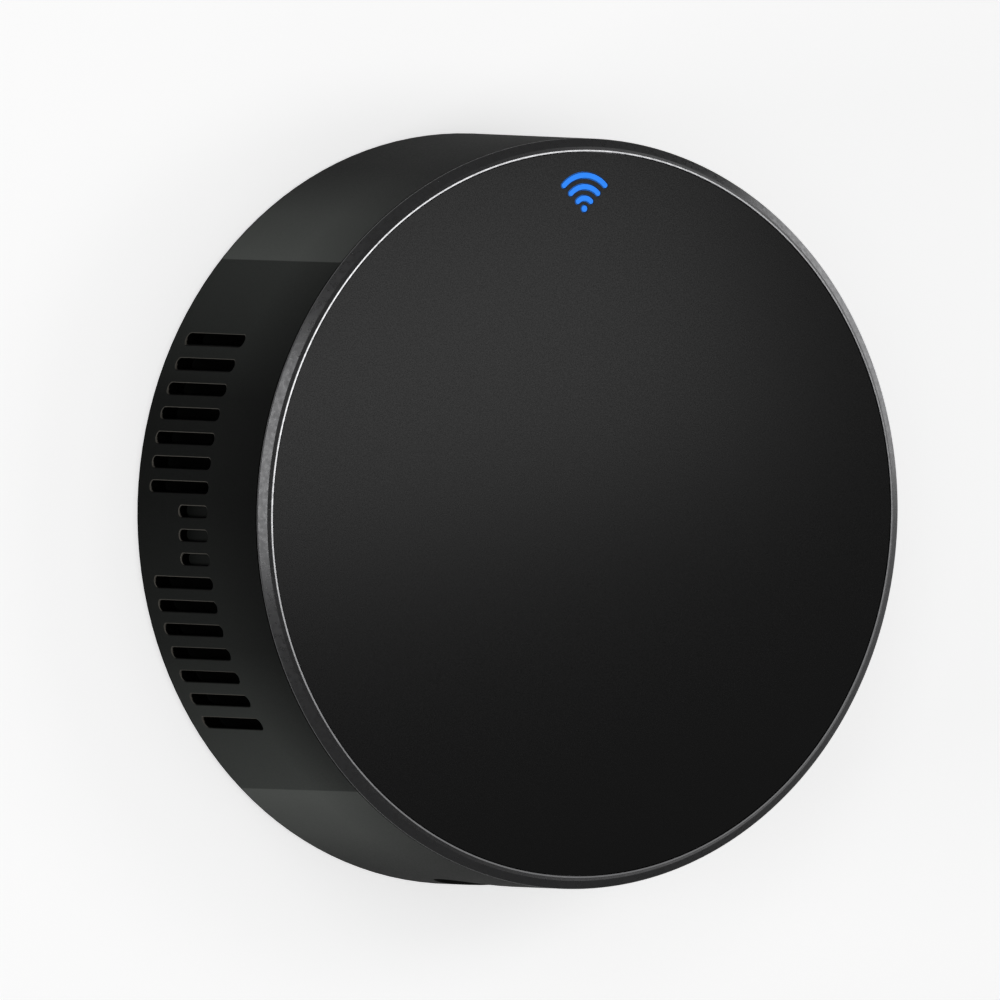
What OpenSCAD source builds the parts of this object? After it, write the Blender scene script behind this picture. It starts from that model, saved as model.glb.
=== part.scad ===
// Infrared remote hub: a round puck with a satin face, a bezel ring and a row of vents in its wall.
// The face looks along +Z, the signal symbol is at +Y, the vents are at -X, the power socket at -Y.
// The origin is the middle of the foot ring's underside, where the hub stands.

/* [Body] */
// Outer diameter of the wall and the bezel ring
body_d = 66; // [64:0.5:72]
// Height from the wall's rear edge to the bezel's outer edge
body_h = 20.4; // [19:0.2:24]
// Thickness of the side wall
wall_t = 1.6; // [1.4:0.1:1.8]
// Chamfer on the wall's rear outer edge
rear_edge_c = 0.2; // [0.1:0.05:0.5]
// Thickness of the front deck under the face panel
deck_t = 1.6; // [1.2:0.1:2]
// Size of the corner brace between the wall and the deck
brace_c = 1.8; // [1:0.1:2.2]
// Thickness of the wall's lip outside the bezel ring
lip_t = 0.5; // [0.4:0.05:0.6]
// Height of the wall's lip above the bezel's seat
lip_h = 1.6; // [1.4:0.05:1.7]

/* [Bezel and face] */
// Width of the dark seam between the wall and the bezel
seam_gap = 0.2; // [0.1:0.05:0.3]
// Upright land of the bezel above the seam
bezel_land = 0.1; // [0.05:0.05:0.2]
// Height of the bezel's outer chamfer
chamfer_h = 0.48; // [0.4:0.02:0.5]
// Width of the flat rim inside the chamfer
rim_w = 0.05; // [0.03:0.01:0.08]
// Width of the fine groove between the rim and the bead
groove_w = 0.14; // [0.1:0.01:0.18]
// Depth of the fine groove
groove_h = 0.08; // [0.04:0.01:0.1]
// Width of the bright bead around the face panel
bead_w = 0.18; // [0.14:0.01:0.2]
// Height of the bead's crown over the rim
bead_h = 0.26; // [0.2:0.01:0.3]
// Gap between the bead and the face panel
panel_gap = 0.09; // [0.05:0.01:0.12]
// Height of the face over the bezel's outer edge
face_rise = 0.7; // [0.6:0.02:0.8]
// Width of the bezel from the body's edge to the face panel's edge
bezel_w = 1.22; // [1.1:0.01:1.3]
// Thickness of the face panel
panel_t = 1.2; // [1:0.05:1.3]
// Thickness of the adhesive disc under the panel
adhesive_t = 0.2; // [0.1:0.05:0.3]
// Distance from the panel's edge to the adhesive's edge
adhesive_margin = 0.6; // [0.4:0.1:1]
// Width of the bezel's seat on the shell
seat_w = 1.25; // [1:0.05:1.4]
// Clearance around the bezel's spigot
spigot_gap = 0.05; // [0.03:0.01:0.1]
// Clearance between the bezel's seat and the raised deck
deck_gap = 0.1; // [0.05:0.05:0.2]

/* [Vents] */
// Number of vent slots
vent_n = 17; // [9:2:17]
// Distance between neighbouring slots, along the chord
vent_pitch = 2.11; // [1.9:0.01:2.14]
// Width of a slot
vent_w = 1; // [0.8:0.05:1.2]
// Length of a long slot
vent_len = 9.75; // [8:0.25:10]
// Height of a long slot's rear end over the wall's rear edge
vent_rear = 2.2; // [2:0.05:2.4]
// Turn of the row from 9 o'clock towards 6 o'clock, in degrees
vent_turn = 3.6; // [0:0.1:5]
// First of the short blind slots
blind_first = 8; // [4:1:8]
// Number of short blind slots
blind_n = 3; // [1:1:3]
// Length of a short slot
blind_len = 4.8; // [3.5:0.1:5.5]
// Depth of a short slot
blind_depth = 0.8; // [0.5:0.05:1]

/* [Signal symbol] */
// Distance from the face panel's edge to the dot's middle
dot_inset = 4.95; // [4.9:0.05:5.5]
// Radius of the dot
dot_r = 0.33; // [0.25:0.01:0.4]
// Radius of the smallest arc's centreline
arc_first_r = 0.92; // [0.85:0.01:1]
// Distance between neighbouring arcs
arc_pitch = 1.01; // [0.9:0.01:1.05]
// Width of an arc
arc_w = 0.55; // [0.4:0.01:0.6]
// Half angle of an arc, in degrees
arc_half = 46; // [35:1:50]
// Number of arcs
arc_n = 3; // [2:1:3]
// Clearance around the symbol in the panel
symbol_gap = 0.04; // [0.02:0.01:0.06]
// Radius of the light guide's plate
guide_r = 3.6; // [3.4:0.05:3.7]
// Distance from the dot's middle to the plate's middle, outwards
guide_shift = 0.7; // [0.5:0.05:0.9]
// Thickness of the plate below the panel
guide_t = 1; // [0.8:0.05:1.1]
// Ledge that carries the light guide
guide_ledge = 0.5; // [0.3:0.05:0.6]
// Distance from the guide's outer edge to the raised deck's edge
guide_margin = 0.35; // [0.2:0.05:0.5]
// Wall of the light baffle
baffle_t = 0.7; // [0.5:0.05:0.8]
// Clearance around parts that drop into a seat
seat_gap = 0.1; // [0.05:0.05:0.15]
// Gap between the baffle and the side wall
baffle_gap = 0.3; // [0.2:0.05:0.4]

/* [Rear cover and foot] */
// Thickness of the rear cover
cover_t = 1.6; // [1.5:0.05:1.7]
// Depth of the wall's rebate for the rear cover
cover_rebate = 0.7; // [0.5:0.05:0.8]
// Clearance around the rear cover
cover_gap = 0.1; // [0.05:0.05:0.2]
// Distance from the body's edge to the middle of the foot ring, where the cover's screws sit
foot_inset = 6; // [5.9:0.1:6.5]
// Width of the foot ring
foot_w = 4; // [3.9:0.1:4.4]
// Height that the foot ring stands proud
foot_proud = 0.6; // [0.4:0.1:1]
// Depth of the foot ring's groove
foot_sink = 0.4; // [0.3:0.05:0.5]
// Clearance beside the foot ring in its groove
foot_gap = 0.1; // [0.05:0.05:0.15]
// Radius of the foot ring's round edges
foot_edge_r = 0.3; // [0.1:0.05:0.35]
// Height of the screw pads inside the cover
pad_h = 1.4; // [1.2:0.1:1.6]
// Radius of the screw pads
pad_r = 3; // [2.8:0.1:3.1]
// Height of the cover's locating rib
rib_h = 1.6; // [1:0.1:2]
// Thickness of the cover's locating rib
rib_t = 1; // [0.8:0.1:1.2]
// Clearance between the rib and the wall
rib_gap = 0.1; // [0.05:0.05:0.2]
// Angle that each locating rib spans, in degrees
rib_span = 20; // [14:1:24]

/* [Screws] */
// Diameter of the screws
screw_d = 2; // [1.8:0.1:2.2]
// Diameter of the screw heads
head_d = 3.6; // [3.4:0.1:3.8]
// Height of the screw heads
head_h = 1.2; // [1:0.05:1.25]
// Width of the cross recess in a head
recess_w = 0.4; // [0.3:0.05:0.5]
// Length of the cross recess
recess_len = 2; // [1.6:0.1:2.2]
// Depth of the cross recess
recess_h = 0.6; // [0.4:0.05:0.7]
// Length of a cover screw under its head
cover_screw_len = 7; // [6:0.5:8]
// Length of a board screw under its head
board_screw_len = 4.4; // [3.5:0.1:4.6]
// Radial clearance of a screw in the hole that it bites in
bite_gap = 0.02; // [0.01:0.01:0.04]
// Radial clearance of a screw in a through hole
pass_gap = 0.15; // [0.1:0.05:0.2]
// Radius of a screw boss in the shell
boss_r = 2.5; // [2.2:0.1:2.7]
// Thickness of the rib between a boss and the wall
boss_rib_t = 1; // [0.8:0.1:1.2]
// Room below the tip of a screw
tip_room = 1; // [0.5:0.1:1.2]

/* [Main board] */
// Gap between the board's edge and the side wall
board_gap = 2.9; // [2.5:0.1:3.2]
// Thickness of the board
board_t = 1.2; // [1:0.1:1.6]
// Height of the posts under the board
post_h = 4; // [3.8:0.1:4.6]
// Radius of the posts
post_r = 2.4; // [2:0.1:2.6]
// Distance from the heat partition to the posts
post_inset = 3.7; // [3:0.1:4.4]
// Clearance around the screw bosses in the board's edge
notch_gap = 0.4; // [0.2:0.1:0.5]

/* [Infrared LEDs] */
// Diameter of a LED's dome
led_d = 5; // [4.6:0.1:5.2]
// Diameter of a LED's collar
collar_d = 5.8; // [5.3:0.1:6]
// Thickness of a LED's collar
collar_t = 1; // [0.8:0.1:1.2]
// Length of a LED from its base to its tip
led_len = 8.6; // [8:0.1:9]
// Width of a LED's leads
lead_w = 0.5; // [0.4:0.05:0.6]
// Distance between a LED's leads
lead_pitch = 2.54; // [2.4:0.02:2.6]
// Distance from a side LED's base to the bend of its leads
lead_run = 1.2; // [1:0.1:1.6]
// Length of the leads below the board
lead_tail = 1; // [0.6:0.1:1.4]
// Clearance around a lead in the board
lead_gap = 0.1; // [0.05:0.05:0.15]
// Gap between a side LED's collar and the board
led_lift = 0.1; // [0.05:0.05:0.2]
// Gap between the domes of the front LEDs and the deck
front_led_gap = 2.25; // [1:0.05:3]
// Gap between the front LEDs' collars and the board
solder_t = 0.05; // [0.03:0.01:0.1]

/* [Infrared receiver] */
// Width and length of the receiver's block
receiver_w = 5; // [4.8:0.1:5.2]
// Height of the receiver's block
receiver_h = 2.8; // [2.4:0.1:3.2]
// Radius of the receiver's lens
receiver_lens_r = 2.1; // [1.9:0.1:2.3]
// Distance from the board's upper post to the receiver
receiver_inset = 5.4; // [4.8:0.1:6]

/* [Radio board] */
// Length of the radio board
radio_len = 17; // [15:0.5:18]
// Width of the radio board
radio_w = 14.5; // [13:0.5:15]
// Thickness of the radio board
radio_t = 0.8; // [0.6:0.1:1]
// Radius of the half holes along the radio board's edges
half_hole_r = 0.45; // [0.35:0.05:0.5]
// Distance between half holes
half_hole_pitch = 2; // [1.5:0.1:2.1]
// Number of half holes along an edge
half_hole_n = 6; // [3:1:6]
// Length of the shield can
can_len = 11.5; // [10:0.5:13]
// Width of the shield can
can_w = 11.5; // [10:0.5:12]
// Height of the shield can
can_h = 2.2; // [1.8:0.1:2.6]
// Sheet thickness of the shield can
can_t = 0.2; // [0.15:0.05:0.3]
// Distance from the board's end to the shield can
can_inset = 1; // [0.6:0.2:1.6]

/* [Power socket] */
// Width of the socket's shell
socket_w = 8.94; // [8.8:0.02:9.1]
// Height of the socket's shell
socket_h = 3.16; // [3.1:0.02:3.3]
// Sheet thickness of the socket's shell
socket_t = 0.3; // [0.2:0.05:0.35]
// Length of the socket
socket_len = 7.3; // [6.8:0.1:7.6]
// Gap between the socket's mouth and the middle of the side wall
socket_back = 0.5; // [0.4:0.05:0.6]
// Thickness of the socket's rear wall
socket_rear_t = 1; // [0.8:0.1:1.4]
// Width of the socket's tongue
tongue_w = 6.69; // [6.4:0.01:6.8]
// Thickness of the socket's tongue
tongue_t = 0.7; // [0.6:0.05:0.8]
// Distance from the socket's mouth to the tongue
tongue_inset = 0.9; // [0.6:0.1:1.2]
// Length of the socket's solder tabs along the shell
tab_len = 1.2; // [1:0.1:1.4]
// Clearance between the socket and the hole in the wall
socket_gap = 0.3; // [0.2:0.05:0.4]
// Width of the pocket for the plug's grip
pocket_w = 13; // [12.6:0.1:13.4]
// Height of the pocket for the plug's grip
pocket_h = 7.6; // [7:0.1:8]
// Thickness of the wall that is left at the pocket
pocket_wall = 0.8; // [0.6:0.05:1]

/* [Reset button] */
// Distance of the button from the socket's middle, along X
button_x = 11; // [10.8:0.1:12]
// Diameter of the button
button_d = 3.2; // [3:0.1:3.4]
// Radial clearance of the button in its guide
button_gap = 0.08; // [0.06:0.01:0.1]
// Diameter of the button's collar
button_collar_d = 4.8; // [4.6:0.1:5]
// Thickness of the button's collar
button_collar_t = 0.8; // [0.6:0.1:1]
// Radius of the guide around the button
button_boss_r = 2.6; // [2.5:0.05:2.7]
// Reach of the guide past the wall's inner side
button_boss_reach = 0.8; // [0.6:0.1:1]
// Depth of the button's end below the wall's outside
button_sink = 0.2; // [0.1:0.05:0.4]
// Dish in the button's end
button_dish = 0.15; // [0.1:0.05:0.2]
// Gap between the button's collar and its guide at rest
collar_gap = 0.05; // [0.03:0.01:0.1]
// Travel of the button
button_travel = 0.25; // [0.2:0.05:0.3]
// Width of the switch's body
switch_w = 6; // [5.8:0.1:6.2]
// Length of the switch's body
switch_len = 3.6; // [3.2:0.1:4]
// Height of the switch's body
switch_h = 4.3; // [4:0.1:4.6]
// Diameter of the switch's plunger
plunger_d = 2.4; // [2.2:0.1:2.6]
// Length of the plunger outside the switch
plunger_out = 1.2; // [1:0.1:1.4]
// Length of the plunger inside the switch
plunger_in = 1; // [0.8:0.1:1.2]
// Radial clearance of the plunger in the switch
plunger_gap = 0.08; // [0.06:0.01:0.1]

/* [Sensor] */
// Distance from the side wall's inner side to the sensor board
sensor_inset = 5.9; // [5.6:0.1:6.2]
// Width of the sensor board
sensor_w = 12; // [10:0.5:13]
// Gap between the sensor board and the deck
sensor_top_gap = 2.9; // [1:0.1:4]
// Thickness of the sensor board
sensor_t = 0.8; // [0.6:0.1:1]
// Side of the sensor chip
chip_w = 2.5; // [2:0.1:3]
// Thickness of the sensor chip
chip_t = 0.9; // [0.7:0.1:1.1]
// Radius of the sensor chip's air hole
chip_hole_r = 0.4; // [0.3:0.05:0.5]
// Distance from the sensor board's top to the chip's middle
chip_drop = 3; // [2:0.1:3.4]
// Number of pins under the sensor board
pin_n = 4; // [3:1:4]
// Distance between the pins
pin_pitch = 2; // [1.8:0.1:2.2]
// Distance from the side wall's inner side to the heat partition
partition_inset = 9.2; // [9:0.1:9.3]
// Thickness of the heat partition
partition_t = 0.8; // [0.6:0.1:1]
// Angle that the heat partition spans, in degrees
partition_span = 56; // [40:2:60]
// Gap between the heat partition and the main board
partition_gap = 0.5; // [0.4:0.1:1]

/* [Small parts] */
// Diameter of a capacitor's can
cap_d = 6.3; // [5:0.1:6.4]
// Height of a capacitor's can
cap_h = 5.4; // [5:0.1:5.8]
// Side of a capacitor's base
cap_base_w = 6.6; // [6.5:0.1:6.8]
// Thickness of a capacitor's base
cap_base_t = 0.8; // [0.6:0.1:1]
// Depth of the bead around a capacitor's can
cap_bead = 0.25; // [0.15:0.05:0.3]
// Distance of the capacitor from the socket's middle, to the left
cap_x = 4; // [3.8:0.1:4.2]
// Gap between the socket's rear and the capacitor's base
cap_gap = 0.7; // [0.4:0.1:1]
// Width of the regulator
reg_w = 6.5; // [6.3:0.1:6.7]
// Depth of the regulator's body
reg_len = 3.5; // [3.3:0.1:3.7]
// Height of the regulator's body
reg_h = 1.6; // [1.5:0.1:1.8]
// Width of the regulator's legs
reg_leg_w = 0.7; // [0.6:0.05:0.8]
// Length of the regulator's legs
reg_leg_len = 1.6; // [1.4:0.1:1.8]
// Distance between the regulator's legs
reg_pitch = 2.3; // [2.2:0.05:2.4]
// Width of the regulator's tab
reg_tab_w = 3; // [2.8:0.1:3.2]
// Distance of the regulator from the socket's middle, to the right
reg_x = 4.4; // [4.2:0.1:4.6]
// Gap between the socket's rear and the regulator's legs
reg_gap = 0.5; // [0.4:0.1:0.8]
// Width of a driver transistor
fet_w = 2.9; // [2.8:0.05:3]
// Depth of a driver transistor's body
fet_len = 1.3; // [1.2:0.05:1.4]
// Height of a driver transistor
fet_h = 1; // [0.9:0.05:1.1]
// Width of a driver transistor's leg
fet_leg_w = 0.4; // [0.3:0.05:0.5]
// Length of a driver transistor's leg
fet_leg_len = 0.55; // [0.5:0.05:0.6]
// Distance from the board's edge to the driver transistors
fet_inset = 3.5; // [2.5:0.1:4]
// Length of the status LED
status_len = 1.6; // [1.5:0.1:2]
// Width of the status LED
status_w = 0.8; // [0.7:0.05:1]
// Height of the status LED
status_h = 0.6; // [0.5:0.05:0.8]

/* [Hidden] */
$fn = 96;

// Overrun of every cut past the faces that it opens
over = 0.5;

// Places of the front LEDs, right and up, as shares of the board's radius
front_led_shares = [0.25, 0.42];
// Place of the radio board below the middle, as a share of the board's radius
radio_share = 0.146;

// Directions in degrees, counter-clockwise from 3 o'clock, seen from the front
SCREW_ANGLES = [0, 120, 240];
POST_ANGLES = [0, 90, 180];
SIDE_LED_ANGLES = [35, 138, 222, 325];
RIB_ANGLES = [30, 60, 90, 270, 300, 330];
FET_ANGLES = [18, 55, 342];

body_r = body_d / 2;
inner_r = body_r - wall_t;
panel_r = body_r - bezel_w;
dot_y = panel_r - dot_inset;
foot_r = body_r - foot_inset;
guide_y = dot_y + guide_shift;
shell_z0 = foot_proud;
cover_z1 = shell_z0 + cover_t;
board_z0 = cover_z1 + post_h;
board_z1 = board_z0 + board_t;
board_r = inner_r - board_gap;
edge_z = shell_z0 + body_h;
lip_z1 = edge_z - bezel_land - seam_gap;
seat_z = lip_z1 - lip_h;
face_z = edge_z + face_rise;
panel_z0 = face_z - panel_t;
deck_z1 = panel_z0 - adhesive_t;
deck_z0 = deck_z1 - deck_t;
lip_r = body_r - lip_t;
spigot_r = lip_r - spigot_gap;
seat_r = spigot_r - seat_w;
raised_r = seat_r - deck_gap;
cover_step_r = inner_r + cover_rebate;
cover_r = cover_step_r - cover_gap;
guide_z0 = panel_z0 - guide_t;
guide_edge_r = raised_r - guide_margin;
baffle_edge_r = inner_r - baffle_gap;
baffle_r = guide_r + seat_gap;
socket_z = board_z1 + socket_h / 2;
socket_y0 = socket_back - inner_r;
screw_seat_z = shell_z0 + foot_sink + head_h + 2 * pass_gap;
button_z = board_z1 + switch_h / 2;
button_boss_r0 = inner_r - button_boss_reach;
button_end_r = button_boss_r0 - collar_gap - button_collar_t;
switch_r1 = button_end_r - plunger_out;
button_angle = -acos(button_x / body_r);
side_led_r = board_r - led_len;
side_lead_r = side_led_r - lead_run;
fet_r = board_r - fet_inset;
sensor_r = inner_r - sensor_inset;
sensor_h = deck_z0 - board_z1 - sensor_top_gap;
partition_r = inner_r - partition_inset;
post_ring_r = partition_r - post_inset;
receiver_y = post_ring_r - receiver_inset;
front_led_len = deck_z0 - board_z1 - solder_t - front_led_gap;
front_led_x = front_led_shares[0] * board_r;
front_led_y = front_led_shares[1] * board_r;
radio_y = radio_share * board_r;
socket_y1 = socket_y0 + socket_len;

// Runs a shape at each of the given angles and radius, with its +X pointing outwards
module around(angles, r) {
    for (a = angles)
        rotate([0, 0, a])
            translate([r, 0, 0])
                children();
}

// A flat bar with round ends, long in Y, centred on the origin
module round_bar(length, width) {
    square([width, length - width], center = true);
    for (s = [-1, 1])
        translate([0, s * (length - width) / 2])
            circle(d = width);
}

// A round-ended opening in a wall, long in Z, that runs from the origin along +X
module wall_slot(length, width, depth) {
    rotate([90, 0, 90])
        linear_extrude(depth)
            round_bar(length, width);
}

// A round-ended bar that lies along Y, wide in X, from the origin towards +Y
module flat_bar(width, height, depth) {
    rotate([-90, 0, 0])
        linear_extrude(depth)
            rotate([0, 0, 90])
                round_bar(width, height);
}

// A tube from the origin up
module tube(r_out, r_in, h) {
    linear_extrude(h)
        difference() {
            circle(r = r_out);
            circle(r = r_in);
        }
}

// One arc of the signal symbol around the dot, with round ends
module symbol_arc(r, width, h) {
    rotate([0, 0, 90 - arc_half])
        rotate_extrude(angle = 2 * arc_half)
            translate([r - width / 2, 0])
                square([width, h]);
    for (s = [-1, 1])
        rotate([0, 0, 90 + s * arc_half])
            translate([r, 0, 0])
                cylinder(d = width, h = h);
}

// The whole signal symbol, grown all round by gap
module symbol(gap, h) {
    translate([0, dot_y, 0]) {
        cylinder(r = dot_r + gap, h = h);
        for (i = [0 : arc_n - 1])
            symbol_arc(arc_first_r + i * arc_pitch, arc_w + 2 * gap, h);
    }
}

// A disc around the light guide's middle, cut off along a circle around the hub's middle
module guide_disc(r, edge_r, h) {
    intersection() {
        translate([0, guide_y, 0])
            cylinder(r = r, h = h);
        cylinder(r = edge_r, h = h);
    }
}

// Half section of the shell: the wall with its lip and rear rebate, the brace and the deck
module shell_section() {
    polygon([
        [body_r - rear_edge_c, shell_z0],
        [body_r, shell_z0 + rear_edge_c],
        [body_r, lip_z1],
        [lip_r, lip_z1],
        [lip_r, seat_z],
        [raised_r, seat_z],
        [raised_r, deck_z1],
        [0, deck_z1],
        [0, deck_z0],
        [inner_r - brace_c, deck_z0],
        [inner_r, deck_z0 - brace_c],
        [inner_r, cover_z1],
        [cover_step_r, cover_z1],
        [cover_step_r, shell_z0]
    ]);
}

// The row of vents: long slots go through the wall, the short ones are blind
module vent_cuts() {
    row_mid = (vent_n - 1) / 2;
    front_z = shell_z0 + vent_rear + vent_len;
    rotate([0, 0, 180 + vent_turn])
        for (i = [0 : vent_n - 1]) {
            y = (row_mid - i) * vent_pitch;
            blind = i + 1 >= blind_first && i + 1 < blind_first + blind_n;
            length = blind ? blind_len : vent_len;
            floor_x = sqrt(pow(blind ? body_r : inner_r, 2) - pow(abs(y) + vent_w / 2, 2));
            x = blind ? floor_x - blind_depth : floor_x - over;
            translate([x, -y, front_z - length / 2])
                wall_slot(length, vent_w, body_r + over - x);
        }
}

// Screw bosses that hang from the deck down to the cover's pads, each with a rib to the wall
module shell_bosses() {
    boss_h = deck_z0 - cover_z1 - pad_h + over;
    around(SCREW_ANGLES, foot_r)
        translate([0, 0, cover_z1 + pad_h]) {
            cylinder(r = boss_r, h = boss_h);
            translate([0, -boss_rib_t / 2, 0])
                cube([inner_r - foot_r + wall_t / 2, boss_rib_t, boss_h]);
        }
}

// Blind holes for the cover's screws
module boss_holes() {
    around(SCREW_ANGLES, foot_r)
        translate([0, 0, cover_z1])
            cylinder(
                d = screw_d + 2 * bite_gap,
                h = screw_seat_z + cover_screw_len + tip_room - cover_z1
            );
}

// Heat partition between the electronics and the sensor, hung from the deck
module heat_partition() {
    z0 = board_z1 + partition_gap;
    rotate([0, 0, 180 - partition_span / 2])
        rotate_extrude(angle = partition_span)
            translate([partition_r - partition_t / 2, z0])
                square([partition_t, deck_z0 - z0 + over]);
}

// Points a shape's +Z outwards along the button's axis, from the given radius
module on_button_axis(r) {
    rotate([0, 0, button_angle])
        translate([r, 0, button_z])
            rotate([0, 90, 0])
                children();
}

// Guide inside the wall for the reset button
module button_boss() {
    on_button_axis(button_boss_r0)
        cylinder(r = button_boss_r, h = button_boss_reach + wall_t / 2);
}

// The button's bore, through the guide and the wall
module button_bore() {
    on_button_axis(button_boss_r0 - over)
        cylinder(d = button_d + 2 * button_gap, h = body_r - button_boss_r0 + 2 * over);
}

// Pocket for the plug's grip and the hole for its metal tip
module socket_cuts() {
    translate([0, -body_r - over, socket_z]) {
        flat_bar(pocket_w, pocket_h, over + wall_t - pocket_wall);
        flat_bar(socket_w + 2 * socket_gap, socket_h + 2 * socket_gap, wall_t + 3 * over);
    }
}

module housing_shell() {
    color([0.11, 0.115, 0.11])
        difference() {
            union() {
                rotate_extrude()
                    shell_section();
                shell_bosses();
                heat_partition();
                button_boss();
            }
            vent_cuts();
            boss_holes();
            button_bore();
            socket_cuts();
            translate([0, 0, guide_z0])
                guide_disc(guide_r + seat_gap, raised_r + over, deck_t);
            translate([0, 0, deck_z0 - over])
                guide_disc(guide_r - guide_ledge, guide_edge_r - guide_ledge, deck_t + 2 * over);
            translate([0, 0, deck_z0 - brace_c - over])
                guide_disc(baffle_r + seat_gap, baffle_edge_r + seat_gap, brace_c + over);
        }
}

// Half section of the bezel: seat, spigot, chamfer, rim, fine groove and bead
module bezel_section() {
    bead_r = panel_r + panel_gap;
    groove_r = bead_r + bead_w;
    rim_r = groove_r + groove_w;
    rim_z = edge_z + chamfer_h;
    crown_z = rim_z + bead_h;
    bead_side = bead_w / 4;
    bead_drop = bead_w / 4;
    polygon([
        [seat_r, seat_z],
        [spigot_r, seat_z],
        [spigot_r, edge_z - bezel_land],
        [body_r, edge_z - bezel_land],
        [body_r, edge_z],
        [rim_r + rim_w, rim_z],
        [rim_r, rim_z],
        [rim_r, rim_z - groove_h],
        [groove_r, rim_z - groove_h],
        [groove_r, crown_z - 2 * bead_drop],
        [groove_r - bead_side, crown_z - bead_drop / 2],
        [groove_r - 2 * bead_side, crown_z],
        [bead_r + bead_side, crown_z - bead_drop / 2],
        [bead_r, crown_z - 2 * bead_drop],
        [bead_r, deck_z1],
        [seat_r, deck_z1]
    ]);
}

module bezel_ring() {
    color([0.32, 0.32, 0.33])
        rotate_extrude()
            bezel_section();
}

module face_panel() {
    color([0.05, 0.05, 0.055])
        difference() {
            translate([0, 0, panel_z0])
                cylinder(r = panel_r, h = panel_t);
            translate([0, 0, panel_z0 - over])
                symbol(symbol_gap, panel_t + 2 * over);
        }
}

module panel_adhesive() {
    color([0.75, 0.72, 0.62])
        translate([0, 0, deck_z1])
            difference() {
                cylinder(r = panel_r - adhesive_margin, h = adhesive_t);
                translate([0, 0, -over])
                    guide_disc(guide_r + seat_gap, guide_edge_r + seat_gap, adhesive_t + 2 * over);
            }
}

module signal_lens() {
    color([0.14, 0.53, 0.98]) {
        translate([0, 0, guide_z0])
            guide_disc(guide_r, guide_edge_r, guide_t);
        translate([0, 0, panel_z0 - guide_t / 2])
            symbol(0, panel_t + guide_t / 2);
    }
}

module light_baffle() {
    color([0.08, 0.08, 0.08])
        translate([0, 0, board_z1])
            difference() {
                guide_disc(baffle_r, baffle_edge_r, deck_z0 - board_z1);
                translate([0, 0, -over])
                    guide_disc(baffle_r - baffle_t, baffle_edge_r - baffle_t, deck_z0);
            }
}

module status_led() {
    color([0.75, 0.85, 1])
        translate([0, dot_y, board_z1 + status_h / 2])
            cube([status_len, status_w, status_h], center = true);
}

// The cover's locating ribs, away from the vents and the socket
module cover_ribs() {
    for (a = RIB_ANGLES)
        rotate([0, 0, a - rib_span / 2])
            rotate_extrude(angle = rib_span)
                translate([inner_r - rib_gap - rib_t, cover_z1 - over])
                    square([rib_t, rib_h + over]);
}

module rear_cover() {
    color([0.09, 0.09, 0.09])
        difference() {
            union() {
                translate([0, 0, shell_z0])
                    cylinder(r = cover_r, h = cover_t);
                cover_ribs();
                around(SCREW_ANGLES, foot_r)
                    translate([0, 0, cover_z1 - over])
                        cylinder(r = pad_r, h = pad_h + over);
                around(POST_ANGLES, post_ring_r)
                    translate([0, 0, cover_z1 - over])
                        cylinder(r = post_r, h = post_h + over);
            }
            translate([0, 0, shell_z0 - over])
                tube(
                    foot_r + foot_w / 2 + foot_gap,
                    foot_r - foot_w / 2 - foot_gap,
                    foot_sink + over
                );
            around(SCREW_ANGLES, foot_r) {
                cylinder(d = head_d + 2 * pass_gap, h = screw_seat_z);
                translate([0, 0, shell_z0])
                    cylinder(d = screw_d + 2 * pass_gap, h = cover_t + pad_h + over);
            }
            around(POST_ANGLES, post_ring_r)
                translate([0, 0, board_z0 - board_screw_len + board_t - bite_gap])
                    cylinder(d = screw_d + 2 * bite_gap, h = board_screw_len + over);
        }
}

module foot_ring() {
    color([0.13, 0.13, 0.13])
        rotate_extrude()
            translate([foot_r - foot_w / 2, 0])
                polygon([
                    [foot_edge_r, 0],
                    [foot_w - foot_edge_r, 0],
                    [foot_w, foot_edge_r],
                    [foot_w, foot_proud + foot_sink],
                    [0, foot_proud + foot_sink],
                    [0, foot_edge_r]
                ]);
}

// A screw with its head's seat at the origin and its shank along +Z
module screw(length) {
    difference() {
        union() {
            cylinder(d = screw_d, h = length);
            translate([0, 0, -head_h])
                cylinder(d = head_d, h = head_h);
        }
        for (a = [0, 90])
            rotate([0, 0, a])
                translate([-recess_len / 2, -recess_w / 2, -head_h - over])
                    cube([recess_len, recess_w, recess_h + over]);
    }
}

module cover_screws() {
    color([0.45, 0.45, 0.47])
        around(SCREW_ANGLES, foot_r)
            translate([0, 0, screw_seat_z])
                screw(cover_screw_len);
}

module board_screws() {
    color([0.45, 0.45, 0.47])
        around(POST_ANGLES, post_ring_r)
            translate([0, 0, board_z1])
                mirror([0, 0, 1])
                    screw(board_screw_len);
}

// Positions a child at both leads of a LED whose base faces -X
module at_leads() {
    for (s = [-1, 1])
        translate([0, s * lead_pitch / 2, 0])
            children();
}

// Positions a child at the low corner of both solder tabs of the socket
module at_tabs() {
    for (s = [-1, 1])
        translate([
            s * (socket_w - socket_h) / 2 - socket_t / 2,
            socket_y0 + socket_len / 2,
            0
        ])
            children();
}

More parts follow.
